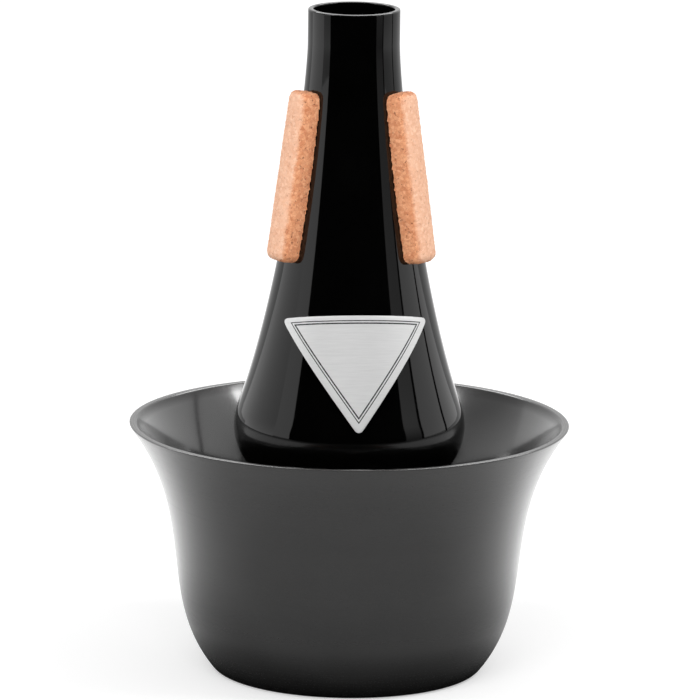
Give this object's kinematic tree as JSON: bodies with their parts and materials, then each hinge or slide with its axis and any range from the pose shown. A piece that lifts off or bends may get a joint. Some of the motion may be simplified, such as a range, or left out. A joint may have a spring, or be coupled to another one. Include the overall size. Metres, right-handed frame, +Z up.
{
  "type": "trumpet cup mute",
  "caption": "Trumpet cup mute: a hollow cone with cork strips, and a flared cup below it on a threaded stud, set by a spring and a thumb nut.",
  "frame": {"origin": "centre of the cup's flat resting face, at the bottom of the part", "axes": "+Z up along the mute's axis towards the tube's open end, -Y towards the side with the badge"},
  "size_m": [0.1316, 0.1316, 0.2012],
  "materials": {
    "cup": "satin graphite anodised outside, glossier inside",
    "cone": "high gloss black lacquer",
    "cork": "matt agglomerated cork",
    "badge": "brushed, with a printed double border line",
    "steel": "bright zinc",
    "brass": "turned",
    "black_plastic": "moulded black nylon",
    "felt": "pressed wool felt"
  },
  "bodies": {
    "cup": {"cup_shell": "cup", "hub_bush": "brass"},
    "spring_carrier": {"felt_washer": "felt", "spring_lower_seat": "steel", "spring": "steel"},
    "cone": {"cone_shell": "cone", "end_cap": "black_plastic", "cork_left": "cork", "cork_right": "cork", "cork_rear": "cork", "badge_plate": "badge", "stud": "steel", "stud_lock_nut": "steel", "stud_washer": "steel", "stud_jam_nut": "steel", "fibre_washer": "black_plastic", "spring_upper_seat": "steel"},
    "thumb_nut": {"thumb_nut_knob": "black_plastic", "thumb_nut_insert": "brass", "thumb_nut_washer": "steel"}
  },
  "joints": [
    {"name": "cup_swivel", "type": "hinge", "parent": "cup", "child": "spring_carrier", "pos_m": [0, 0, 0.024], "axis": [0, 0, 1], "continuous": true},
    {"name": "cone_slide", "type": "slide", "parent": "spring_carrier", "child": "cone", "axis": [0, 0, -1], "range_m": [0, 0.01], "deforming": ["spring"]},
    {"name": "nut_turn", "type": "hinge", "parent": "spring_carrier", "child": "thumb_nut", "pos_m": [0, 0, 0.01], "axis": [0, 0, 1], "range_deg": [0, 2880]}
  ],
  "couplings": [
    {"joint": "nut_turn", "follows": "cone_slide", "rad_per_m": 5026.5}
  ]
}
